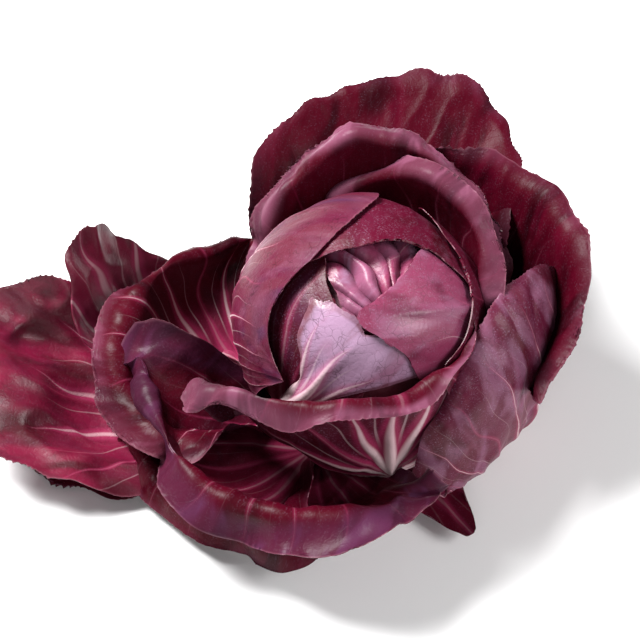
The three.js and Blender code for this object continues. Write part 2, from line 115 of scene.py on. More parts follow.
# Loose leaves, innermost first. Sizes are in metres and angles in degrees.
# azimuth and root (distance out and height) place the foot of the rib, and foot is half its width there.
# size is the blade's length and width laid flat, and widest is where it is widest, as a share of the length.
# A higher waist narrows the blade below that place, and a higher point sharpens it above.
# cw_share is how wide the clockwise half is beside the other.
# rise, swing and the cups run from foot to tip: the rib's slope, its turn sideways, and the curl of each half.
# lip is how deep and how far the margin rolls out, and the share of the depth that turns, with the rest flat.
# lip_share scales the roll from the clockwise edge to the other. ruffle is height, count and phase.
# billow is height, waves across and along, and phase. fan is where on the rib the veins spread from, as a
# share of the length, the angle between them, and how far aside they start.
# crumple and quilt are the height of fine folds and of the swellings between the veins.
# lobes and teeth are the depth of the margin's bays and teeth.
# finishes are those of the inner and the outer face.
LOOSE_LEAVES = {
    "back_inner_leaf": dict(
        azimuth=48, root=(0.014, 0.018), size=(0.118, 0.125), widest=0.51, rise=(1, 44, 85, 97, 103),
        swing=(2, -1, -2), cup_ccw=(30, 55, 65, 60, 40), cup_cw=(30, 55, 65, 64, 49),
        lip=(0.011, 110, 0.5), ruffle=(0.0015, 6, 1.3), crumple=0.0004, quilt=0.0002,
        finishes=("pale_rim", "dusk")),
    "back_leaf": dict(
        azimuth=78, root=(0.014, 0.014), size=(0.133, 0.132), widest=0.49, rise=(-5, 31, 70, 91, 89, 87),
        swing=(1, 1, -4), cup_ccw=(30, 58, 75, 60, 53), cup_cw=(30, 50, 61, 44, 60),
        lip=(0.014, 120, 0.5), ruffle=(0.0015, 6, 0.3), crumple=0.0004, quilt=0.0002,
        finishes=("pale_rim", "dusk")),
    "front_leaf": dict(
        azimuth=282, root=(0.014, 0.014), size=(0.110, 0.185), widest=0.74, rise=(-21, 20, 91, 86, 96),
        swing=(4, -1, 3, 8), cup_ccw=(30, 70, 100, 90, 85), cup_cw=(30, 65, 83, 69, 55),
        lip=(0.012, 120, 0.5), lip_share=(1, 1, 1, 0.4, 0), ruffle=(0.0015, 6, 2.3),
        fan=(0.42, 26), finishes=("grey_rim", "ribbed")),
    "right_front_leaf": dict(
        azimuth=343, root=(0.015, 0.009), size=(0.147, 0.150), widest=0.4, point=0.66,
        rise=(-22, 0, 78, 102, 151), swing=(14, -8, -16), cup_ccw=(20, 35, 38, 38, 26),
        cup_cw=(13, 49, 57, 53, 60), lip=(0.006, -20), ruffle=(0.001, 6, 2.3),
        finishes=("wine", "rose")),
    "front_inner_leaf": dict(
        azimuth=242, root=(0.014, 0.010), size=(0.106, 0.160), widest=0.53, cw_share=1.25,
        rise=(-2, 8, 21, 63, 75), swing=(-8, 0, 9), cup_ccw=(30, 50, 68, 60, 20),
        cup_cw=(30, 70, 70, 68, 79), lip=(0.020, 135, 0.4), lip_share=(1, 1, 1, 0.6, 0.2),
        ruffle=(0.003, 7, 2.2),
        billow=(0.002, 1.2, 3, 0.5), finishes=("violet_rim", "violet")),
    "left_inner_leaf": dict(
        azimuth=165, root=(0.014, 0.009), size=(0.117, 0.160), widest=0.51, rise=(-8, -1, 26, 63, 74),
        swing=(3, 3, -13), cup_ccw=(30, 60, 66, 57, 38), cup_cw=(30, 60, 66, 60, 45),
        lip=(0.014, 110, 0.6), ruffle=(0.0025, 7, 0.2), billow=(0.002, 1.2, 3, 0.5),
        fan=(0.3, 20), finishes=("ribbed_wine", "plum")),
    "front_left_leaf": dict(
        azimuth=213, root=(0.013, 0.0065), size=(0.100, 0.165), widest=0.67, waist=1.56, point=0.65,
        rise=(-10, -7, -3, 37, 48), swing=(-6, -1, 11), cup_ccw=(30, 65, 71, 65, 19),
        cup_cw=(30, 65, 72, 39, 32), lip=(0.016, 120, 0.6), ruffle=(0.003, 7, 1),
        billow=(0.002, 1.2, 3, 0.5), finishes=("blotched", "plum")),
    "right_outer_leaf": dict(
        azimuth=37, root=(0.014, 0.010), size=(0.132, 0.179), widest=0.51, rise=(0, 11, 54, 83, 59),
        swing=(4, -4, 5), cup_ccw=(20, 42, 46, 42, 76), cup_cw=(18, 55, 65, 60, 50),
        lip=(0.012, 60), ruffle=(0.0025, 5, 2), billow=(0.002, 1.2, 3, 0.5),
        crumple=0.0005, quilt=0.0003, finishes=("blotched", "plum")),
    "back_outer_leaf": dict(
        azimuth=75, root=(0.013, 0.008), size=(0.151, 0.157), widest=0.48, point=0.66, cw_share=0.75,
        rise=(-10, 21, 48, 48, 31, 37), swing=(12, -13, 0), cup_ccw=(20, 49, 71, 45, 25),
        cup_cw=(10, 25, 40, 42, 20), lip=(0.010, 40), ruffle=(0.0035, 4, 0.9),
        billow=(0.003, 1.2, 3, 0.5), crumple=0.0005, quilt=0.0004, finishes=("blotched", "plum")),
    "left_back_leaf": dict(
        azimuth=153, root=(0.014, 0.006), size=(0.154, 0.082), widest=0.42, point=0.9,
        rise=(-3, 5, 9, 64, 80), swing=(6, 9, -13), cup_ccw=(10, 20, 30, 30, 5),
        cup_cw=(10, 20, 32, 30, 18), lip=(0.006, 10), ruffle=(0.002, 5, 1),
        crumple=0.0013, quilt=0.0018, fan=(0.4, 24), finishes=("magenta", "rose")),
    "left_leaf": dict(
        azimuth=176, root=(0.014, 0.004), size=(0.175, 0.110), widest=0.56, waist=1.4,
        rise=(-4, -1, 5, 39, 18), swing=(2.5, 4, -7), cup_ccw=(5, 7, 19, 9, 11),
        cup_cw=(5, 10, 29, 60, 42), lip=(0.008, 10), ruffle=(0.004, 5, 1),
        billow=(0.004, 1.5, 3, 0.2), crumple=0.0016, quilt=0.002, fan=(0.22, 22),
        finishes=("magenta", "rose")),
    "low_left_leaf": dict(
        azimuth=188, root=(0.013, 0.0022), size=(0.138, 0.074), foot=0.008, rise=(-2, -1, 0, 0),
        cup_ccw=(5,), cup_cw=(5,), ruffle=(0.001, 5, 0), finishes=("wine", "plum")),
    "front_tip_leaf": dict(
        azimuth=303, root=(0.013, 0.003), size=(0.072, 0.036), foot=0.008, widest=0.25, point=1,
        rise=(0, 3, 3, 0), cup_ccw=(10, 15, 20, 10), cup_cw=(10, 15, 20, 10),
        ruffle=(0.0015, 3, 1), finishes=("wine", "plum")),
}

# Leaves wrapped on the ball, innermost first. foot_at and tip_at are (azimuth, degrees up from its bottom),
# radius is that of the sphere a leaf lies on, and width is its width laid flat. lift raises the margin, and
# lean draws the half past the rib towards the tip. pleats is height, pleats to a radian, and how far before
# the tip they fan out from.
BALL_LEAVES = {
    "ball_leaf_1": dict(foot_at=(86, 66), tip_at=(98, 236), radius=0.046, width=0.130,
                        finishes=("wine", "heart"), pleats=(0.0034, 21, 0.012)),
    "ball_leaf_2": dict(foot_at=(246, 49), tip_at=(151, 151), radius=0.0475, width=0.100,
                        widest=0.45, point=1.15, waist=1, lift=0.0002, finishes=("wine", "folded")),
    "ball_leaf_3": dict(foot_at=(233, 85), tip_at=(273, 136), radius=0.049, width=0.100,
                        widest=0.8, point=0.4, waist=4, cw_share=0.52, lean=0.9, lift=0,
                        fan=(-0.1, 20), finishes=("wine", "lavender")),
    "ball_leaf_4": dict(foot_at=(12, 84), tip_at=(265, 142), radius=0.0505, width=0.058,
                        widest=0.53, point=2, waist=1, cw_share=1.25, fan=(-0.25, 17, -0.03),
                        finishes=("wine", "pink")),
    "ball_leaf_5": dict(foot_at=(44, 41), tip_at=(195, 150), radius=0.052, width=0.156,
                        widest=0.7, point=1.15, waist=1, finishes=("wine", "berry")),
    "ball_leaf_6": dict(foot_at=(174, 32), tip_at=(88, 163), radius=0.0535, width=0.156,
                        widest=0.35, point=0.73, waist=0.6, finishes=("wine", "tan")),
    "ball_leaf_7": dict(foot_at=(-35, 34), tip_at=(49, 131), radius=0.054, width=0.134,
                        widest=0.36, point=1.2, waist=0.75, finishes=("wine", "berry")),
}

LEAF_DEFAULTS = dict(
    widest=0.5, waist=1.2, point=0.5, foot=0.009, cw_share=1, lean=0, swing=(0,), lip_share=(1,),
    lip=None, ruffle=None, billow=None, pleats=None, fan=(0.2, 18), lobes=0.0018, teeth=0.0017,
    crumple=0.0007, quilt=0.0005, lift=0.0009)


def station(values, x):
    """Values at x (0 to 1) on a smooth curve through evenly spaced stations."""
    values = np.asarray(values, float)
    last = len(values) - 1
    if last == 0:
        return np.full_like(x, values[0])
    place = np.clip(x, 0, 1) * last
    i = np.minimum(place.astype(int), last - 1)
    f = place - i
    low, high = values[i], values[i + 1]
    before, after = values[np.maximum(i - 1, 0)], values[np.minimum(i + 2, last)]
    in_slope = np.where(i > 0, (high - before) / 2, high - low)
    out_slope = np.where(i < last - 1, (after - low) / 2, high - low)
    rising = 3 * f**2 - 2 * f**3
    return (
        (1 - rising) * low + (f**3 - 2 * f**2 + f) * in_slope
        + rising * high + (f**3 - f**2) * out_slope)


def smooth(x):
    """A soft step from 0 to 1."""
    x = np.clip(x, 0, 1)
    return x**2 * (3 - 2 * x)


def ripple(a, b, wavelength, seed, waves=9):
    """Gentle random relief between about -1 and 1: a few waves that cross at random angles."""
    draw = np.random.default_rng(seed)
    total = np.zeros_like(a)
    for _ in range(waves):
        heading, phase = draw.uniform(0, 2 * math.pi, 2)
        turns = 2 * math.pi / wavelength * draw.uniform(0.65, 1.35)
        total += np.sin(turns * (a * math.cos(heading) + b * math.sin(heading)) + phase)
    return total / math.sqrt(2 * waves)


def ripple_round(rim, wavelength, seed):
    """Random relief along the margin."""
    return ripple(rim, 0 * rim, wavelength, seed)


def scaled(vectors, factors):
    """Each vector times its own factor."""
    return vectors * np.asarray(factors)[..., None]


def unit(vectors):
    """Each vector at length 1."""
    return vectors / (np.linalg.norm(vectors, axis=-1, keepdims=True) + 1e-12)


def lay_flat(leaf, s, t, seed):
    """Where each point lies while the blade is flat: s from foot to tip, t from cw to ccw edge."""
    length, width = leaf.size
    diagonal = math.sqrt(0.5)
    corner = leaf.widest + diagonal * (1 - leaf.widest)
    edge = s * (1 - (1 - corner) * s**2)
    bow = (np.sqrt(1 - t**2 / 2) - diagonal) / (1 - diagonal)
    along = length * (edge + (s - edge) * bow)
    beyond = np.clip((edge - leaf.widest) / (1 - leaf.widest), 0, 1)
    taper = np.sin(math.pi / 2 * np.clip(edge / leaf.widest, 0, 1)) ** leaf.waist
    half = np.where(edge > leaf.widest, width / 2 * (1 - beyond**2) ** leaf.point,
                    leaf.foot + (width / 2 - leaf.foot) * taper)
    side_share = np.where(t < 0, leaf.cw_share, 1)
    half = half * side_share
    side = width / 2 * side_share
    across = half * t
    past = along / length - leaf.widest
    upper = past > 0
    outward = np.where(upper, past / (1 - leaf.widest), 0)
    flat = SimpleNamespace(half=half)
    flat.margin = np.where(upper, np.hypot(across / side, outward), np.abs(t))
    flat.around = np.arctan2(across / side, np.where(upper, outward, 0.8 * past / leaf.widest))
    flat.reach = np.where(upper, np.hypot(across, past * length), np.abs(across))
    flat.reach = flat.reach / np.maximum(flat.margin, 1e-6)
    to_side = across / side**2
    to_tip = np.where(upper, outward / ((1 - leaf.widest) * length), 0)
    steep = np.hypot(to_side, to_tip) + 1e-12
    flat.to_side, flat.to_tip = to_side / steep, to_tip / steep
    flat.rim = flat.around * (length + width) / 3
    bays = leaf.lobes * ripple_round(flat.rim, BAY_LENGTH, seed) * flat.margin**4
    place = flat.rim / TOOTH_LENGTH + 0.6 * ripple_round(flat.rim, 0.011, seed + 1)
    saw = np.abs(2 * np.mod(place, 1) - 1) ** 3
    depth = leaf.teeth * (BALL_TEETH if leaf.on_ball else 1)
    depth = depth * (0.7 + 0.5 * ripple_round(flat.rim, 0.05, seed + 2))
    grown = bays + depth * saw * flat.margin**24
    grown = grown * np.clip(along / length / TEETH_FULL, 0, 1)
    flat.across = across + flat.to_side * grown
    flat.along = along + flat.to_tip * grown
    flat.share = flat.along / length
    flat.along = flat.along + leaf.lean * np.maximum(flat.across, 0)
    return flat


def bend_loose(leaf, flat, s, t):
    """A loose leaf bends along its rib, and each half curls in a circular arc across it."""
    q = np.linspace(0, 1, RIB_STEPS + 1)
    slope = np.radians(station(leaf.rise, q))
    heading = np.radians(leaf.azimuth + station(leaf.swing, q))
    level = np.zeros_like(q)
    ahead = np.stack([np.cos(heading), np.sin(heading), level], -1)
    aside = np.stack([-np.sin(heading), np.cos(heading), level], -1)
    ways = scaled(ahead, np.cos(slope)) + np.stack([level, level, np.sin(slope)], -1)
    start = math.radians(leaf.azimuth)
    radius, height = leaf.root
    places = np.zeros_like(ways)
    places[0] = (radius * math.cos(start), radius * math.sin(start), height)
    places[1:] = places[0] + np.cumsum((ways[1:] + ways[:-1]) / 2 * leaf.size[0] / RIB_STEPS, 0)

    def on_rib(table):
        return np.stack([np.interp(flat.share, q, table[:, k]) for k in range(3)], -1)

    along, across = unit(on_rib(ways)), unit(on_rib(aside))
    inward = np.cross(along, across)
    turn = np.radians(np.where(t > 0, station(leaf.cup_ccw, s), station(leaf.cup_cw, s)))
    turn = np.where(np.abs(turn) < 1e-5, 1e-5, turn)
    side = np.sign(t)
    angle = turn * np.abs(flat.across) / flat.half
    point = on_rib(places) + scaled(across, flat.half / turn * np.sin(angle) * side)
    point += scaled(inward, flat.half / turn * (1 - np.cos(angle)))
    straight, turned = np.cos(angle), np.sin(angle) * side
    normal = scaled(inward, straight) - scaled(across, turned)
    sideways = scaled(across, straight) + scaled(inward, turned)
    return SimpleNamespace(point=point, normal=normal, along=along, sideways=sideways)


def direction(azimuth, polar):
    """Unit vector at an azimuth and an angle up from straight down."""
    a, p = math.radians(azimuth), math.radians(polar)
    return np.array([math.sin(p) * math.cos(a), math.sin(p) * math.sin(a), -math.cos(p)])


def ball_swell(out):
    """The ball is slightly lumpy and narrows to the stem."""
    x, y, z = out[..., 0], out[..., 1], out[..., 2]
    return (1 + 0.012 * np.sin(5 * x + 1) + 0.012 * np.sin(4 * y + 6 * z)
            - 0.03 * np.clip(-z - 0.3, 0, 1))


def bend_on_ball(leaf, flat):
    """A ball leaf lies on a sphere, with its rib on the great circle from foot to tip."""
    start = direction(*leaf.foot_at)
    pole = unit(np.cross(start, direction(*leaf.tip_at)))
    ahead = np.cross(pole, start)
    beta, gamma = flat.along / leaf.radius, flat.across / leaf.radius
    ring = np.cos(beta)[..., None] * start + np.sin(beta)[..., None] * ahead
    out = scaled(ring, np.cos(gamma)) - np.sin(gamma)[..., None] * pole
    point = scaled(out, leaf.radius * ball_swell(out))
    point[..., 2] += BALL_CENTRE_Z
    along = np.cross(pole, ring)
    return SimpleNamespace(point=point, normal=-out, along=along, sideways=np.cross(along, out))


def roll_lip(leaf, flat, bent, t, seed):
    """The margin rolls outward, each point about the line where the lip starts."""
    depth, angle, *fold = leaf.lip
    depth = depth * (1 + 0.2 * ripple_round(flat.rim, 0.07, seed + 8))
    angle = angle * (1 + 0.14 * ripple_round(flat.rim, 0.06, seed + 9))
    turning = depth * (fold[0] if fold else 1)
    inside = np.maximum(0, flat.reach * (flat.margin - 1) + depth)
    curved = np.minimum(inside, turning)
    rising = smooth((flat.share - LIP_START) / (LIP_FULL - LIP_START))
    bend = np.radians(angle) * rising * station(leaf.lip_share, (t + 1) / 2) / turning
    bend = np.where(np.abs(bend) < 1e-3, 1e-3, bend)
    outward = scaled(bent.sideways, flat.to_side) + scaled(bent.along, flat.to_tip)
    straight, turned = np.cos(curved * bend), np.sin(curved * bend)
    bent.point += scaled(outward, turned / bend + (inside - curved) * straight - inside)
    bent.point -= scaled(bent.normal, (1 - straight) / bend + (inside - curved) * turned)
    bent.normal = scaled(bent.normal, straight) + scaled(outward, turned)


def relief(leaf, flat, seed):
    """Height of the inner face above the smooth blade: ruffles, swells, pleats, crumples and creases."""
    height = np.zeros_like(flat.margin)
    across, along = flat.across, flat.along
    if leaf.ruffle:
        tall, count, phase = leaf.ruffle
        turn = count * flat.around
        beat = np.sin(turn + phase) + 0.5 * np.sin(1.73 * turn + 2.1 * phase + 1)
        height += tall * flat.margin**3 * np.clip(flat.share / RUFFLE_FULL, 0, 1) * beat
    if leaf.billow:
        tall, wide, long, phase = leaf.billow
        swell = np.sin(wide * across * math.pi / 0.06 + phase)
        swell *= np.sin(long * flat.share * math.pi + 1.3 * phase)
        height += tall * swell * np.clip(flat.share / BILLOW_FULL, 0, 1) * (1 - flat.margin**4)
    if leaf.pleats:
        tall, count, before_tip = leaf.pleats
        back = leaf.size[0] - before_tip - along
        wander = ripple(across, along, 0.025, seed + 5)
        turn = count * np.arctan2(across, back) + 2.4 * wander
        fold = 1 - np.abs(np.cos(turn / 2)) + 0.4 * np.sin(0.7 * turn + wander)
        height += tall * fold * smooth(np.hypot(across, back) / 0.014)
    crumple = leaf.crumple * smooth(flat.share / CRUMPLE_FULL) * (BALL_CRUMPLE if leaf.on_ball else 1)
    height += crumple * ripple(across, 0.6 * along, 0.03, seed + 3)
    height += 0.12 * crumple * ripple(across, 0.7 * along, 0.009, seed + 4)
    crease = 1 - np.abs(ripple(across, 0.45 * along, 0.024, seed + 12))
    height += 1.1 * crumple * smooth(crease) ** 3
    frill = ripple(flat.around * leaf.size[1] / 2, along * 0.3, 0.02, seed + 6)
    return height + crumple * flat.margin**5 * frill


def vein_fan(leaf, flat, seed):
    """Phase across the fan of veins (a whole number on each main vein) and distance from its start."""
    start, spread, *aside = leaf.fan
    ahead = flat.along - start * leaf.size[0]
    sideways = flat.across - (aside[0] if aside else 0)
    away = np.hypot(sideways, ahead)
    angle = np.arctan2(sideways, ahead) * (1 + 3 * away)
    phase = angle / math.radians(spread)
    return phase + 0.13 * ripple(flat.across, flat.along, 0.035, seed + 7) * smooth(away / 0.02), away


def rib_shapes(leaf, flat, phase, away):
    """How strongly each point lies on a main vein, and on the midrib."""
    off_rib = np.abs(phase - np.round(phase)) * math.radians(leaf.fan[1]) * away
    fades = np.clip(1 - away / (VEINS_END * leaf.size[0]), 0, 1)
    ribs = np.exp(-((off_rib / (VEIN_HALF_WIDTH + VEIN_WIDENING * fades)) ** 2)) * fades
    ribs = np.where(np.abs(phase) < 0.5, 1.6, 0.8) * ribs
    left = np.clip(1 - flat.share, 0, 1)
    half_width = MIDRIB_HALF_WIDTH * left + MIDRIB_TIP_HALF_WIDTH
    return ribs, np.exp(-((flat.across / half_width) ** 2)) * left**1.5


def shape_leaf(obj, leaf, seed, settings):
    """Moves the vertices of a flat square grid to a leaf's inner face, and maps its veins."""
    mesh = obj.data
    grid = np.empty(len(mesh.vertices) * 3)
    mesh.vertices.foreach_get("co", grid)
    x, y = grid[0::3], (grid[1::3] + 1) / 2
    # The grid is finer towards the margin and the tip.
    t = -(x - 0.08 * np.sin(2 * math.pi * x))
    s = 1.3 * y - 0.3 * y**3
    flat = lay_flat(leaf, s, t, seed)
    bent = bend_on_ball(leaf, flat) if leaf.on_ball else bend_loose(leaf, flat, s, t)
    if leaf.lip:
        roll_lip(leaf, flat, bent, t, seed)
    phase, away = vein_fan(leaf, flat, seed)
    ribs, midrib = rib_shapes(leaf, flat, phase, away)
    between = (1 - np.cos(2 * math.pi * phase)) / 2 * smooth(away / 0.03) * (1 - flat.margin**6)
    height = relief(leaf, flat, seed) - settings.groove * np.minimum(ribs, 1)
    height += leaf.quilt * (BALL_QUILT if leaf.on_ball else 1) * between
    if leaf.on_ball:
        height -= leaf.lift * flat.margin**10
    blade = settings.thickness - settings.margin_thickness
    thick = blade * (1 - smooth((flat.margin - 0.8) / 0.2))
    thick += np.clip(ribs * settings.rib_depth + midrib * settings.midrib_depth, 0, settings.midrib_depth)
    point = bent.point + scaled(bent.normal, height + settings.thickness / 2)
    lowest = LYING_HEIGHT + thick * np.clip(bent.normal[:, 2], 0, 1)
    over = point[:, 2] - lowest
    point[:, 2] = lowest + (over + np.hypot(over, SETTLING)) / 2
    mesh.vertices.foreach_set("co", point.ravel())
    map_veins(mesh, flat, phase, away)
    weigh_vertices(obj, thick / (blade + settings.midrib_depth))
    mesh.update()


def map_veins(mesh, flat, phase, away):
    """Keeps each point's place on the flat blade and in its fan of veins, for the materials."""
    fan = mesh.attributes.new("fan", "FLOAT_VECTOR", "POINT")
    fan.data.foreach_set("vector", np.stack([phase, away, flat.margin], -1).ravel())
    corners = np.empty(len(mesh.loops), int)
    mesh.loops.foreach_get("vertex_index", corners)
    places = np.stack([flat.across[corners], flat.along[corners]], -1)
    mesh.uv_layers.active.data.foreach_set("uv", places.ravel())


def weigh_vertices(obj, weights):
    """Puts the weights in a vertex group, in even steps."""
    group = obj.vertex_groups.new(name="ribs")
    steps = np.round(weights * WEIGHT_STEPS).astype(int)
    for step in np.unique(steps):
        group.add(np.flatnonzero(steps == step).tolist(), float(step) / WEIGHT_STEPS, "REPLACE")


def deselect_all():
    for obj in bpy.context.selected_objects:
        obj.select_set(False)


def apply_modifiers(obj):
    deselect_all()
    obj.select_set(True)
    bpy.context.view_layer.objects.active = obj
    for modifier in list(obj.modifiers):
        bpy.ops.object.modifier_apply(modifier=modifier.name)


def add_leaf(name, values, seed, settings, replaced):
    """One leaf: a grid shaped to its inner face, thickened outward and thickest along its ribs."""
    leaf = SimpleNamespace(**{**LEAF_DEFAULTS, **values}, on_ball="radius" in values)
    if leaf.on_ball:
        turn = math.acos(float(direction(*leaf.foot_at) @ direction(*leaf.tip_at)))
        leaf.size = (leaf.radius * turn, leaf.width)
    cell = settings.cell * (PLEATED_CELL if leaf.pleats else 1)
    rows, columns = (max(FEWEST_CELLS, round(side / cell)) for side in leaf.size)
    deselect_all()
    bpy.ops.mesh.primitive_grid_add(x_subdivisions=columns, y_subdivisions=rows, size=2)
    obj = bpy.context.active_object
    obj.name = obj.data.name = name
    shape_leaf(obj, leaf, seed, settings)
    wall = obj.modifiers.new("Thickness", "SOLIDIFY")
    wall.thickness = settings.thickness + settings.midrib_depth
    wall.thickness_vertex_group = settings.margin_thickness / wall.thickness
    wall.vertex_group = "ribs"
    wall.offset = -1
    wall.material_offset = 1
    wall.material_offset_rim = 2
    inner, outer = leaf.finishes
    for finish in (leaf_material(inner), leaf_material(outer), margin_material()):
        obj.data.materials.append(finish)
    apply_modifiers(obj)
    bpy.ops.object.shade_smooth_by_angle(angle=SMOOTH_ANGLE)
    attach(obj, "root")
    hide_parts(replaced)
    return obj


class Nodes:
    """Adds nodes to a tree and joins them."""

    def __init__(self, tree):
        self.tree = tree

    def add(self, kind, inputs=(), **settings):
        node = self.tree.nodes.new(kind)
        for key, value in settings.items():
            setattr(node, key, value)
        for key, value in dict(inputs).items():
            if isinstance(value, bpy.types.NodeSocket):
                self.tree.links.new(value, node.inputs[key])
            else:
                node.inputs[key].default_value = value
        return node

    def math(self, operation, a, b=0.0, clamp=False):
        return self.add("ShaderNodeMath", {0: a, 1: b}, operation=operation, use_clamp=clamp).outputs[0]

    def times(self, a, b, clamp=False):
        return self.math("MULTIPLY", a, b, clamp)

    def affine(self, value, factor, offset):
        """value times factor, plus offset."""
        inputs = {0: value, 1: factor, 2: offset}
        return self.add("ShaderNodeMath", inputs, operation="MULTIPLY_ADD").outputs[0]

    def step(self, value, start, end, low=0.0, high=1.0):
        """A soft step from low to high as value goes from start to end."""
        inputs = {"Value": value, "From Min": start, "From Max": end, "To Min": low, "To Max": high}
        return self.add("ShaderNodeMapRange", inputs, interpolation_type="SMOOTHSTEP").outputs[0]

    def mix(self, factor, a, b):
        inputs = {"Factor": factor, 6: a, 7: b}
        return self.add("ShaderNodeMix", inputs, data_type="RGBA").outputs[2]

    def noise(self, vector, scale, detail=3.0, roughness=0.55, distortion=0.0):
        inputs = {"Vector": vector, "Scale": scale, "Detail": detail, "Roughness": roughness,
                  "Distortion": distortion}
        return self.add("ShaderNodeTexNoise", inputs).outputs[0]

    def fan(self):
        """A leaf's own map: phase across its veins, distance from their start, and place to the margin."""
        fan = self.add("ShaderNodeAttribute", attribute_name="fan").outputs["Vector"]
        return self.add("ShaderNodeSeparateXYZ", {0: fan}).outputs

    def uv(self):
        """Place on the flat blade, across and along, in metres."""
        return self.add("ShaderNodeUVMap").outputs[0]

    def group(self, tree, inputs=()):
        return self.add("ShaderNodeGroup", inputs, node_tree=tree).outputs

    def surface(self, inputs):
        """The shader and the material's output."""
        shader = self.add("ShaderNodeBsdfPrincipled", inputs)
        self.add("ShaderNodeOutputMaterial", {"Surface": shader.outputs[0]})


def node_group(name, inputs, outputs, build):
    """A shader node group, made once. build(nodes, inputs) gives the output sockets by name."""
    if name in bpy.data.node_groups:
        return bpy.data.node_groups[name]
    tree = bpy.data.node_groups.new(name, "ShaderNodeTree")
    for label, value in inputs.items():
        socket = tree.interface.new_socket(label, in_out="INPUT", socket_type="NodeSocketFloat")
        socket.default_value = value
    for label in outputs:
        tree.interface.new_socket(label, in_out="OUTPUT", socket_type="NodeSocketFloat")
    nodes = Nodes(tree)
    given = nodes.add("NodeGroupInput")
    made = build(nodes, given.outputs)
    nodes.add("NodeGroupOutput", made)
    return tree


def build_ribs(nodes, given):
    """Veins that fan out from the rib, with forks between them and side veins across."""
    parts = nodes.fan()
    phase, away = parts[0], parts[1]
    turn = nodes.times(given["Spread"], away)
    taper = nodes.math("SUBTRACT", 1.0, nodes.math("DIVIDE", away, given["Reach"]), clamp=True)

    # Main veins: the middle one is wider, and the others differ by chance.
    middle = nodes.math("LESS_THAN", nodes.math("ABSOLUTE", phase), 0.5)
    width = nodes.times(nodes.times(given["Width"], taper), nodes.affine(middle, 0.9, 1.0))
    number = nodes.times(nodes.math("ROUND", phase), 0.37)
    chance = nodes.add("ShaderNodeTexWhiteNoise", {"W": number}, noise_dimensions="1D").outputs[0]
    width = nodes.times(width, nodes.affine(chance, 1.1, 0.35))
    off_main = nodes.times(nodes.math("PINGPONG", phase, 0.5), turn)
    core = nodes.step(off_main, width, nodes.times(width, 0.2))
    halo = nodes.step(off_main, nodes.affine(width, 2.6, 0.0006), width)
    halo = nodes.times(halo, nodes.math("POWER", taper, 0.5))

    # Forks: slim veins halfway between the main ones, from some way out.
    off_fork = nodes.times(nodes.math("PINGPONG", nodes.math("ADD", phase, 0.5), 0.5), turn)
    forked = nodes.step(away, nodes.times(given["Reach"], 0.25), nodes.times(given["Reach"], 0.5))
    slim = nodes.affine(width, 0.4, 0.0001)
    fork = nodes.times(nodes.step(off_fork, slim, nodes.times(slim, 0.4)), forked)
    fork = nodes.times(fork, nodes.step(taper, 0.0, 0.25))

    # Side veins: wavering rows that leave a main vein and fade between two.
    wander = nodes.times(nodes.noise(nodes.uv(), 160.0, 1.0), 0.006)
    across = nodes.math("ADD", nodes.math("SUBTRACT", away, nodes.times(off_main, 1.1)), wander)
    row = nodes.math("PINGPONG", nodes.math("DIVIDE", across, SIDE_VEIN_GAP), 0.5)
    side = nodes.times(nodes.step(row, 0.05, 0.015), nodes.step(off_main, 0.008, 0.001))

    core = nodes.times(core, nodes.step(chance, 0.1, 0.7, low=0.15))
    core = nodes.math("MAXIMUM", core, nodes.times(fork, 0.4))
    return {"Core": nodes.times(core, nodes.math("POWER", taper, 0.6)), "Halo": halo, "Side veins": side}


def build_net(nodes, given):
    """The fine net of veins, in places, and the small blisters between them."""
    uv = nodes.uv()
    noise = nodes.add("ShaderNodeTexNoise", {"Vector": uv, "Scale": 220.0, "Detail": 1.0}).outputs[1]
    shift = nodes.add("ShaderNodeVectorMath", {0: noise, "Scale": 0.004}, operation="SCALE").outputs[0]
    place = nodes.add("ShaderNodeVectorMath", {0: uv, 1: shift}).outputs[0]
    cells = {"Vector": place, "Scale": given["Cells"]}
    edge = nodes.add("ShaderNodeTexVoronoi", cells, feature="DISTANCE_TO_EDGE").outputs[0]
    shown = nodes.step(nodes.noise(uv, 90.0, 1.0), 0.42, 0.62)
    return {"Lines": nodes.times(nodes.step(edge, 0.06, 0.0), shown), "Blisters": nodes.step(edge, 0.0, 0.3)}


def build_mottle(nodes, given):
    """Soft patches of another colour, and a finer speckle."""
    place = nodes.add("ShaderNodeMapping", {0: nodes.uv(), "Scale": (1.3, 0.5, 1)}).outputs[0]
    broad = nodes.noise(place, given["Scale"], 2.0, 0.6, 0.6)
    start = nodes.affine(given["Cover"], -0.34, 0.62)
    patches = nodes.step(broad, start, nodes.math("ADD", start, 0.16))
    speckle = nodes.noise(place, nodes.times(given["Scale"], 9.0), 2.0, 0.7)
    return {"Patches": patches, "Speckle": speckle}


def leaf_groups():
    """The groups for the main veins, the fine net and the patches."""
    return (
        node_group("Leaf ribs", {"Spread": 0.3, "Width": 0.001, "Reach": 0.1},
                   ("Core", "Halo", "Side veins"), build_ribs),
        node_group("Leaf net", {"Cells": 300.0}, ("Lines", "Blisters"), build_net),
        node_group("Mottling", {"Scale": 60.0, "Cover": 0.5}, ("Patches", "Speckle"), build_mottle))
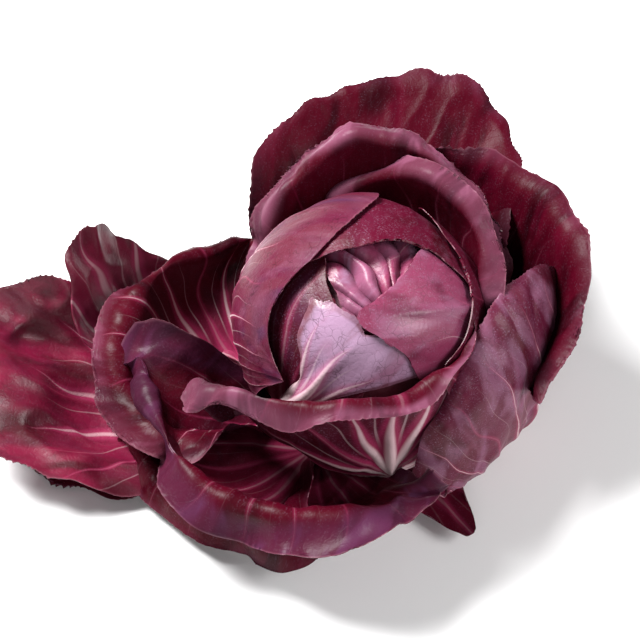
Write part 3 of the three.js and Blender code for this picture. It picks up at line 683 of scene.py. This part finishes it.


# Finishes of the leaf faces. base and deep vary slowly, and tint and bloom lie over them in patches, as far as
# tint_cover and bloom_cover say; the bloom patches are waxy bloom with a painted sheen. ribs, halo, net and
# side are how strongly the veins show, and width and reach are the main veins' size in metres. glow is how far
# the foot is pinker, and rim is a colour near the margin, with its start and strength: painted sheen on the
# rolled lips, and painted shade along the margin of the folded finish. shine is the specular level, and powder
# is how strongly a fine speckle of waxy bloom and painted glints shows.
DARK = dict(base="wine", deep="wine_deep", tint="wine_light", bloom="plum", tint_cover=0.35,
            bloom_cover=0.15, ribs=0.12, halo=0.3, net=0.25, side=0.1, width=0.001, reach=0.09, glow=0.15,
            rim=("plum", 0.9, 0.3), shine=0.09, powder=0.06)
DULL = {**DARK, "base": "plum", "deep": "wine", "tint": "violet", "bloom": "dusty", "tint_cover": 0.5,
        "bloom_cover": 0.3, "net": 0.35, "side": 0.25, "rim": ("dusty", 0.95, 0.3), "shine": 0.2,
        "powder": 0.25}
FINISHES = {
    "wine": DARK,
    # The rim colours of these finishes are painted sheen on the rolled lips.
    "blotched": {**DARK, "halo": 0.15, "rim": ("dusty", 0.94, 0.3), "shine": 0.06},
    "pale_rim": {**DARK, "rim": ("dusty", 0.87, 1.2)},
    "grey_rim": {**DARK, "rim": ("dusty", 0.88, 1.3)},
    "violet_rim": {**DARK, "rim": ("violet", 0.78, 0.9)},
    "ribbed_wine": {**DARK, "ribs": 0.75, "halo": 0.7, "width": 0.0022, "reach": 0.08, "glow": 0.6,
                    "rim": ("dusty", 0.93, 0.5)},
    "magenta": {**DARK, "base": "magenta", "deep": "wine", "bloom": "rose", "tint_cover": 0.6,
                "bloom_cover": 0.4, "ribs": 0.6, "halo": 0.75, "net": 0.4, "side": 0.4, "width": 0.0022,
                "reach": 0.1, "glow": 0.7, "shine": 0.5},
    "dusk": DULL,
    "plum": DULL,
    "violet": {**DULL, "base": "violet", "deep": "plum", "tint": "tan", "tint_cover": 0.35,
               "bloom_cover": 0.4, "ribs": 0.3},
    "ribbed": {**DULL, "tint": "rose", "bloom": "tan", "tint_cover": 0.4, "bloom_cover": 0.2, "ribs": 0.9,
               "halo": 0.8, "net": 0.5, "side": 0.6, "width": 0.0017, "reach": 0.06, "glow": 0.2},
    "rose": {**DULL, "base": "rose", "deep": "plum", "tint": "mauve", "bloom": "tan", "bloom_cover": 0.4,
             "ribs": 0.75, "halo": 0.5, "net": 0.5, "side": 0.4, "reach": 0.11, "glow": 0.3},
    "heart": {**DULL, "base": "pink", "deep": "rose", "tint": "mauve", "bloom": "bloom",
              "tint_cover": 0.45, "bloom_cover": 0.2, "ribs": 0.3, "glow": 0.0, "shine": 0.4,
              "powder": 0.12},
    # The folded finish's wine rim is painted shade along its margin.
    "folded": {**DULL, "tint": "rose", "bloom": "violet", "bloom_cover": 0.4, "net": 0.5, "glow": 0.0,
               "rim": ("wine", 0.85, 1.0)},
    "lavender": {**DULL, "base": "mauve", "deep": "rose", "tint": "bloom", "bloom": "tan",
                 "tint_cover": 0.9, "ribs": 1.0, "halo": 0.6, "net": 0.8, "side": 0.5, "width": 0.002,
                 "reach": 0.05, "glow": 0.3, "rim": ("tan", 0.85, 0.5), "shine": 0.5},
    "pink": {**DULL, "base": "pink", "deep": "rose", "tint": "mauve", "bloom": "mauve", "ribs": 0.8,
             "halo": 0.5, "net": 0.5, "side": 0.4, "width": 0.0018, "shine": 0.4},
    "berry": {**DULL, "base": "berry", "deep": "wine", "tint": "rose", "tint_cover": 0.35,
              "bloom_cover": 0.15, "ribs": 0.15},
    "tan": {**DULL, "base": "rose", "deep": "violet", "tint": "tan", "tint_cover": 0.6,
            "bloom_cover": 0.35, "ribs": 0.95, "halo": 0.5, "net": 0.9, "side": 0.45, "width": 0.0013,
            "reach": 0.08, "glow": 0.2, "shine": 0.1, "powder": 0.08},
}


def new_material(name):
    """An empty material, and the Nodes that fill it."""
    material = bpy.data.materials.new(name)
    material.use_nodes = True
    material.node_tree.nodes.clear()
    return material, Nodes(material.node_tree)


def colour(label):
    """One of the scene's colours, with its alpha."""
    return (*getattr(bpy.context.scene.radicchio_colours, label), 1)


def leaf_material(name):
    """The finish of one kind of leaf face, from its entry in FINISHES and the scene's colours."""
    if name in bpy.data.materials:
        return bpy.data.materials[name]
    finish = SimpleNamespace(**FINISHES[name])
    material, nodes = new_material(name)
    ribs_group, net_group, mottle_group = leaf_groups()
    ribs = nodes.group(ribs_group, {"Spread": VEIN_SPREAD, "Width": finish.width, "Reach": finish.reach})
    net = nodes.group(net_group)
    slow = nodes.group(mottle_group, {"Scale": SLOW_PATCHES, "Cover": 0.45})
    tint = nodes.group(mottle_group, {"Scale": TINT_PATCHES, "Cover": finish.tint_cover})
    # Patches of waxy bloom with a painted sheen.
    bloom = nodes.group(mottle_group, {"Scale": BLOOM_AND_SHEEN_PATCHES, "Cover": finish.bloom_cover})
    parts = nodes.fan()
    away, margin = parts[1], parts[2]
    grain = nodes.noise(nodes.uv(), 1400.0, 1.0)

    # The ground colours, the patches, the patches of waxy bloom with a painted sheen, and the powder of waxy
    # bloom and painted glints.
    paint = nodes.mix(slow["Patches"], colour(finish.base), colour(finish.deep))
    paint = nodes.mix(nodes.times(tint["Patches"], 0.45), paint, colour(finish.tint))
    bloom_and_sheen_spots = nodes.times(bloom["Patches"], bloom["Speckle"])
    paint = nodes.mix(nodes.times(bloom_and_sheen_spots, 0.7), paint, colour(finish.bloom))
    # A fine speckle of waxy bloom and painted glints.
    powder = nodes.times(nodes.step(grain, 0.5, 0.72), nodes.step(slow["Speckle"], 0.35, 0.7))
    paint = nodes.mix(nodes.times(powder, finish.powder), paint, colour("bloom"))

    # Pinker towards the foot, and the veins over it.
    near_foot = nodes.step(away, finish.reach * 0.8, 0.0, high=finish.glow)
    paint = nodes.mix(near_foot, paint, colour("halo"))
    dark = nodes.mix(0.65, paint, colour("wine_deep"))
    for mask, strength, over in (
            (net["Lines"], finish.net, dark), (ribs["Side veins"], finish.side, dark),
            (ribs["Halo"], finish.halo, colour("halo")), (ribs["Core"], finish.ribs, colour("rib"))):
        paint = nodes.mix(nodes.times(mask, strength), paint, over)

    # The rim's patchy colour, painted sheen on the rolled lips and painted shade along the folded finish's
    # margin, and a paler edge at the very margin.
    painted_rim_colour, painted_rim_start, painted_rim_strength = finish.rim
    rim = nodes.step(margin, painted_rim_start - 0.06, painted_rim_start + 0.06, high=painted_rim_strength)
    patchy = nodes.affine(nodes.math("ADD", bloom["Patches"], tint["Patches"]), 0.6, 0.4)
    paint = nodes.mix(nodes.times(rim, patchy, clamp=True), paint, colour(painted_rim_colour))
    edge = nodes.times(nodes.step(margin, 0.985, 0.998), 0.2)
    paint = nodes.mix(edge, paint, colour("margin"))

    height = nodes.times(net["Blisters"], 0.3)
    for mask, tall in (
            (ribs["Core"], 0.8), (ribs["Side veins"], -0.35), (slow["Speckle"], 0.6), (grain, 0.4)):
        height = nodes.affine(mask, tall, height)
    bump = nodes.add("ShaderNodeBump", {"Strength": 0.4, "Distance": 0.0003, "Height": height})
    nodes.surface({
        "Base Color": paint, "Roughness": nodes.affine(slow["Speckle"], 0.25, 0.27),
        "Normal": bump.outputs[0], "Specular IOR Level": finish.shine})
    return material


def margin_material():
    """The thin rim of a leaf: pale, with small dried points."""
    if "leaf_margin" in bpy.data.materials:
        return bpy.data.materials["leaf_margin"]
    material, nodes = new_material("leaf_margin")
    place = nodes.add("ShaderNodeTexCoord").outputs["Object"]
    spots = nodes.step(nodes.noise(place, 420.0, 2.0), 0.5, 0.68)
    paint = nodes.mix(spots, colour("berry"), colour("margin"))
    nodes.surface({"Base Color": paint, "Roughness": nodes.affine(spots, 0.2, 0.4)})
    return material


def stem_material():
    """Cream stem with faint lengthways fibres and a browned cut face."""
    material, nodes = new_material("stem_flesh")
    place = nodes.add("ShaderNodeTexCoord").outputs["Object"]
    stretched = nodes.add("ShaderNodeMapping", {0: place, "Scale": (1, 1, 0.15)}).outputs[0]
    fibres = nodes.noise(stretched, 900.0, 3.0)
    height = nodes.add("ShaderNodeSeparateXYZ", {0: place}).outputs[2]
    blotches = nodes.times(nodes.noise(place, 260.0, 4.0, 0.65), 1.1)
    browned = nodes.times(nodes.step(height, 0.004, 0.0002), blotches, clamp=True)
    paint = nodes.mix(fibres, colour("stem"), colour("rib"))
    paint = nodes.mix(browned, paint, colour("cut"))
    bump = nodes.add("ShaderNodeBump", {"Strength": 0.5, "Distance": 0.0005, "Height": fibres})
    nodes.surface({
        "Base Color": paint, "Roughness": nodes.affine(blotches, 0.3, 0.4), "Normal": bump.outputs[0]})
    return material


def colour_property(name, description, default):
    return FloatVectorProperty(name=name, description=description, subtype="COLOR", size=3, min=0, max=1,
                               default=default)


def length_property(name, description, default):
    return FloatProperty(name=name, description=description, default=default, min=0.0,
                         subtype="DISTANCE", unit="LENGTH", precision=5)


def power_property(name, description, default):
    return FloatProperty(name=name, description=description, default=default, min=0.0,
                         subtype="POWER", unit="POWER")


class RadicchioColours(bpy.types.PropertyGroup):
    """Colours of the leaves and the stem."""

    wine: colour_property("Wine", "Inner faces", (0.052, 0.001, 0.0065))
    wine_deep: colour_property("Deep wine", "Darkest parts and fine veins", (0.022, 0.0006, 0.003))
    wine_light: colour_property("Light wine", "Lighter patches of inner faces", (0.08, 0.0018, 0.012))
    magenta: colour_property("Magenta", "Inner face of the loose left leaf", (0.15, 0.004, 0.026))
    berry: colour_property("Berry", "Smooth dark leaves of the ball", (0.085, 0.0025, 0.016))
    plum: colour_property("Plum", "Outer faces in shade", (0.06, 0.004, 0.013))
    violet: colour_property("Violet", "Blue-purple outer faces", (0.075, 0.018, 0.05))
    rose: colour_property("Rose", "Dusky pink outer faces", (0.095, 0.007, 0.027))
    pink: colour_property("Pink", "Heart and pink ball leaf", (0.24, 0.035, 0.09))
    mauve: colour_property("Mauve", "Greyed pink", (0.30, 0.13, 0.22))
    # Painted sheen on the rolled rims, and waxy bloom with a painted sheen in patches on outer faces.
    dusty: colour_property("Bloom and sheen mauve", "Rolled rims", (0.17, 0.05, 0.09))
    tan: colour_property("Tan", "Browned patches", (0.12, 0.023, 0.035))
    # Waxy bloom, with painted sheen and glints where it lies in patches and fine speckles.
    bloom: colour_property("Bloom and sheen", "Waxy lavender bloom", (0.42, 0.30, 0.45))
    rib: colour_property("Rib", "White ribs", (0.80, 0.62, 0.64))
    halo: colour_property("Rib edge", "Pink on both sides of a rib", (0.36, 0.03, 0.10))
    margin: colour_property("Margin", "Thin leaf margins", (0.30, 0.12, 0.16))
    stem: colour_property("Stem", "Stem flesh", (0.68, 0.55, 0.42))
    cut: colour_property("Cut face", "Browned cut of the stem", (0.30, 0.16, 0.08))


class RadicchioLeaves(bpy.types.PropertyGroup):
    """Sizes that all leaves share."""

    thickness: length_property("Blade thickness", "Thickness between the ribs", 0.0007)
    margin_thickness: length_property("Margin thickness", "Thickness at the margin", 0.0003)
    rib_depth: length_property("Side rib depth", "How far the main veins stand out of the outer face", 0.0007)
    midrib_depth: length_property("Midrib depth", "How thick the midrib is at the foot", 0.0035)
    groove: length_property("Groove", "How deep the veins lie in the inner face", 0.0003)
    cell: length_property("Mesh cell", "Size of the mesh's cells on a leaf", 0.00135)


class RadicchioStudio(bpy.types.PropertyGroup):
    """Floor, light and camera."""

    elevation: FloatProperty(name="Camera elevation", description="Angle above the horizon",
                             default=math.radians(50), subtype="ANGLE", unit="ROTATION")
    distance: length_property("Camera distance", "From the camera to what it looks at", 0.635)
    lens: FloatProperty(name="Lens", description="Focal length in millimetres on a 36 mm sensor",
                        default=85.0, min=10.0)
    floor: colour_property("Floor", "Pale plain floor", (0.93, 0.93, 0.93))
    key: power_property("Overhead light", "Power of the soft box above", 34.0)
    front: power_property("Front light", "Power of the soft box in front", 3.0)
    side: power_property("Right light", "Power of the soft box at the right", 9.0)
    ambient: FloatProperty(name="Ambient light", description="Strength of the even light from all round",
                           default=0.14, min=0.0)


class RADICCHIO_OT_studio(bpy.types.Operator):
    """Add the pale floor, the soft lights and the camera"""

    bl_idname = "radicchio.studio"
    bl_label = "Add studio"

    def execute(self, context):
        studio = context.scene.radicchio_studio
        self.add_floor(studio)
        back = Vector((0, -math.cos(studio.elevation), math.sin(studio.elevation)))
        camera = bpy.data.objects.new("camera", bpy.data.cameras.new("camera"))
        context.scene.collection.objects.link(camera)
        camera.data.lens = studio.lens
        camera.data.sensor_width = 36
        camera.data.clip_start = 0.01
        camera.location = AIM + back * studio.distance
        camera.rotation_euler = (-back).to_track_quat("-Z", "Y").to_euler()
        context.scene.camera = camera
        for name, (place, size, power) in SOFTBOXES.items():
            self.add_softbox(name, place, size, getattr(studio, power))
        world = bpy.data.worlds.new("studio")
        context.scene.world = world
        world.use_nodes = True
        background = world.node_tree.nodes["Background"].inputs
        background["Color"].default_value = (1, 1, 1, 1)
        background["Strength"].default_value = studio.ambient
        context.scene.view_settings.view_transform = "Standard"
        return {"FINISHED"}

    def add_floor(self, studio):
        deselect_all()
        bpy.ops.mesh.primitive_plane_add(size=FLOOR_SIZE)
        floor = bpy.context.active_object
        floor.name = "floor"
        material = bpy.data.materials.new("floor")
        material.use_nodes = True
        shader = material.node_tree.nodes["Principled BSDF"]
        shader.inputs["Base Color"].default_value = (*studio.floor, 1)
        shader.inputs["Roughness"].default_value = 0.9
        floor.data.materials.append(material)

    def add_softbox(self, name, place, size, power):
        light = bpy.data.lights.new(name, "AREA")
        light.shape = "SQUARE"
        light.size = size
        light.energy = power
        lamp = bpy.data.objects.new(name, light)
        bpy.context.scene.collection.objects.link(lamp)
        lamp.location = place
        lamp.rotation_euler = (AIM - Vector(place)).to_track_quat("-Z", "Y").to_euler()


class RADICCHIO_OT_stem(bpy.types.Operator):
    """Add the short stem with its cut face"""

    bl_idname = "radicchio.stem"
    bl_label = "Add stem"

    def execute(self, context):
        deselect_all()
        bpy.ops.mesh.primitive_cylinder_add(
            vertices=56, radius=STEM_RADIUS, depth=STEM_HEIGHT, location=(0, 0, STEM_HEIGHT / 2))
        stem = context.active_object
        stem.name = stem.data.name = "stem_flesh"
        bpy.ops.object.transform_apply(location=True, rotation=True, scale=True)
        bpy.ops.object.mode_set(mode="EDIT")
        bpy.ops.mesh.select_all(action="DESELECT")
        bpy.ops.object.mode_set(mode="OBJECT")
        for face in stem.data.polygons:
            face.select = face.normal.z < -0.9
        bpy.ops.object.mode_set(mode="EDIT")
        bpy.ops.mesh.inset(thickness=CUT_RIM)
        bpy.ops.mesh.inset(thickness=CUT_RING)
        bpy.ops.object.mode_set(mode="OBJECT")
        neck = STEM_NECK_RADIUS / STEM_RADIUS
        for vertex in stem.data.vertices:
            x, y, z = vertex.co
            angle = math.atan2(y, x)
            radius = math.hypot(x, y)
            on_side = radius > 0.9 * STEM_RADIUS
            swell = 1 + 0.02 * math.sin(7 * angle) + 0.012 * math.sin(12 * angle + 1)
            pinch = neck if z > STEM_HEIGHT / 2 else 1
            if on_side:
                vertex.co = (x * swell * pinch, y * swell * pinch, z)
            elif z < STEM_HEIGHT / 2 and radius < 0.75 * STEM_RADIUS:
                vertex.co.z = CUT_HOLLOW
        bevel = stem.modifiers.new("Worn edges", "BEVEL")
        bevel.width = STEM_BEVEL
        bevel.segments = 3
        apply_modifiers(stem)
        bpy.ops.object.shade_smooth_by_angle(angle=SMOOTH_ANGLE)
        stem.data.materials.append(stem_material())
        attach(stem, "root")
        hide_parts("stem")
        return {"FINISHED"}


class RADICCHIO_OT_ball(bpy.types.Operator):
    """Add the tight ball: the core and the seven leaves wrapped on it"""

    bl_idname = "radicchio.ball"
    bl_label = "Add ball"

    def execute(self, context):
        deselect_all()
        bpy.ops.mesh.primitive_uv_sphere_add(
            segments=96, ring_count=64, radius=CORE_RADIUS, location=(0, 0, BALL_CENTRE_Z))
        core = context.active_object
        core.name = core.data.name = "ball_core"
        bpy.ops.object.transform_apply(location=True, rotation=True, scale=True)
        centre = np.array([0, 0, BALL_CENTRE_Z])
        points = np.empty(len(core.data.vertices) * 3)
        core.data.vertices.foreach_get("co", points)
        out = unit(points.reshape(-1, 3) - centre)
        folds = CORE_FOLDS * np.sin(9 * np.arctan2(out[:, 1], out[:, 0]) + 6 * out[:, 2])
        points = centre + scaled(out, CORE_RADIUS * ball_swell(out) + folds)
        core.data.vertices.foreach_set("co", points.ravel())
        bpy.ops.object.shade_smooth()
        core.data.materials.append(leaf_material("folded"))
        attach(core, "root")
        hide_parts("ball")
        for seed, (name, values) in enumerate(BALL_LEAVES.items(), BALL_SEED):
            add_leaf(name, values, seed, context.scene.radicchio_leaves, "ball")
        return {"FINISHED"}


class RADICCHIO_OT_loose_leaves(bpy.types.Operator):
    """Add the loose leaves that cup the ball and spread beside it"""

    bl_idname = "radicchio.loose_leaves"
    bl_label = "Add loose leaves"

    def execute(self, context):
        for seed, (name, values) in enumerate(LOOSE_LEAVES.items(), LOOSE_SEED):
            add_leaf(name.replace("_leaf", "_blade"), values, seed, context.scene.radicchio_leaves, name)
        return {"FINISHED"}


class RADICCHIO_PT_panel(bpy.types.Panel):
    """Lists the steps that build the head"""

    bl_idname = "RADICCHIO_PT_panel"
    bl_label = "Radicchio head"
    bl_space_type = "VIEW_3D"
    bl_region_type = "UI"
    bl_category = "Radicchio"

    def draw(self, context):
        for operator in OPERATORS:
            self.layout.operator(operator.bl_idname)
        for group in (context.scene.radicchio_leaves, context.scene.radicchio_studio,
                      context.scene.radicchio_colours):
            for name in group.__annotations__:
                self.layout.prop(group, name)


OPERATORS = (RADICCHIO_OT_studio, RADICCHIO_OT_stem, RADICCHIO_OT_ball, RADICCHIO_OT_loose_leaves)
SETTINGS = {
    "radicchio_leaves": RadicchioLeaves,
    "radicchio_colours": RadicchioColours,
    "radicchio_studio": RadicchioStudio,
}
CLASSES = (*SETTINGS.values(), *OPERATORS, RADICCHIO_PT_panel)


def register():
    for item in CLASSES:
        bpy.utils.register_class(item)
    for name, group in SETTINGS.items():
        setattr(bpy.types.Scene, name, PointerProperty(type=group))


def unregister():
    for name in SETTINGS:
        delattr(bpy.types.Scene, name)
    for item in reversed(CLASSES):
        bpy.utils.unregister_class(item)


def main():
    register()
    bpy.ops.radicchio.studio()
    bpy.ops.radicchio.stem()
    bpy.ops.radicchio.ball()
    bpy.ops.radicchio.loose_leaves()


if __name__ == "__main__":
    main()
